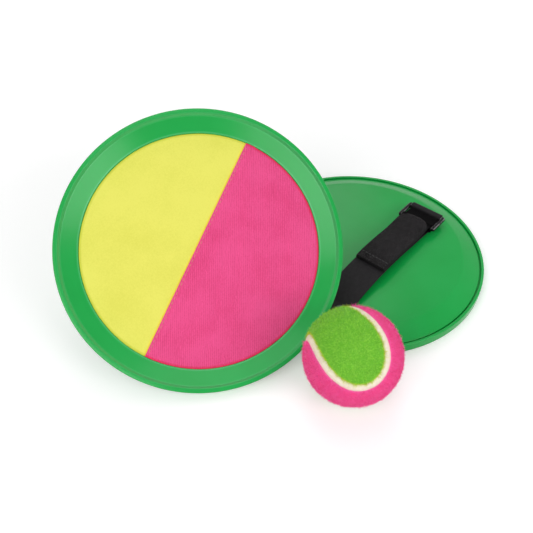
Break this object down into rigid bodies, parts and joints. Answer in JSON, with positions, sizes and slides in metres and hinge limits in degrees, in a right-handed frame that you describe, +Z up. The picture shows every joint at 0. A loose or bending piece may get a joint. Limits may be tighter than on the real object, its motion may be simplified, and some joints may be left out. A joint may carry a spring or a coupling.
{
  "type": "hook and loop catch set",
  "caption": "Round dished paddles with cloth catching faces and hand straps, laid out with the felt ball that they catch.",
  "frame": {"origin": "middle of the bottom of the set's bounding box, on the surface that it lies on", "axes": "+Z up; +X from the slanted front paddle towards the flat back paddle; -Y towards the ball and the viewer"},
  "size_m": [0.3034, 0.2442, 0.1192],
  "materials": {
    "green_plastic": "semi-gloss",
    "yellow_cloth": "napped",
    "pink_cloth": "napped",
    "black_webbing": "woven",
    "black_tape": "fuzzy",
    "black_hooks": "matte",
    "black_plastic": "satin",
    "rivet_steel": "blackened",
    "core_rubber": "matte",
    "seam_strip": "matte",
    "green_felt": "felt",
    "pink_felt": "felt"
  },
  "bodies": {
    "root": {"back_disc": "green_plastic", "back_pad_yellow": "yellow_cloth", "back_pad_pink": "pink_cloth", "back_strap": "black_webbing", "back_ring_tab": "black_webbing", "back_strap_tape": "black_tape", "back_strap_hooks": "black_hooks", "back_ring": "black_plastic", "back_rivet_1": "rivet_steel", "back_rivet_2": "rivet_steel", "back_rivet_3": "rivet_steel", "back_rivet_4": "rivet_steel", "front_disc": "green_plastic", "front_pad_yellow": "yellow_cloth", "front_pad_pink": "pink_cloth", "front_strap": "black_webbing", "front_ring_tab": "black_webbing", "front_strap_tape": "black_tape", "front_strap_hooks": "black_hooks", "front_ring": "black_plastic", "front_rivet_1": "rivet_steel", "front_rivet_2": "rivet_steel", "front_rivet_3": "rivet_steel", "front_rivet_4": "rivet_steel", "ball_core": "core_rubber", "ball_seam": "seam_strip", "ball_felt_green": "green_felt", "ball_felt_pink": "pink_felt"}
  },
  "joints": []
}
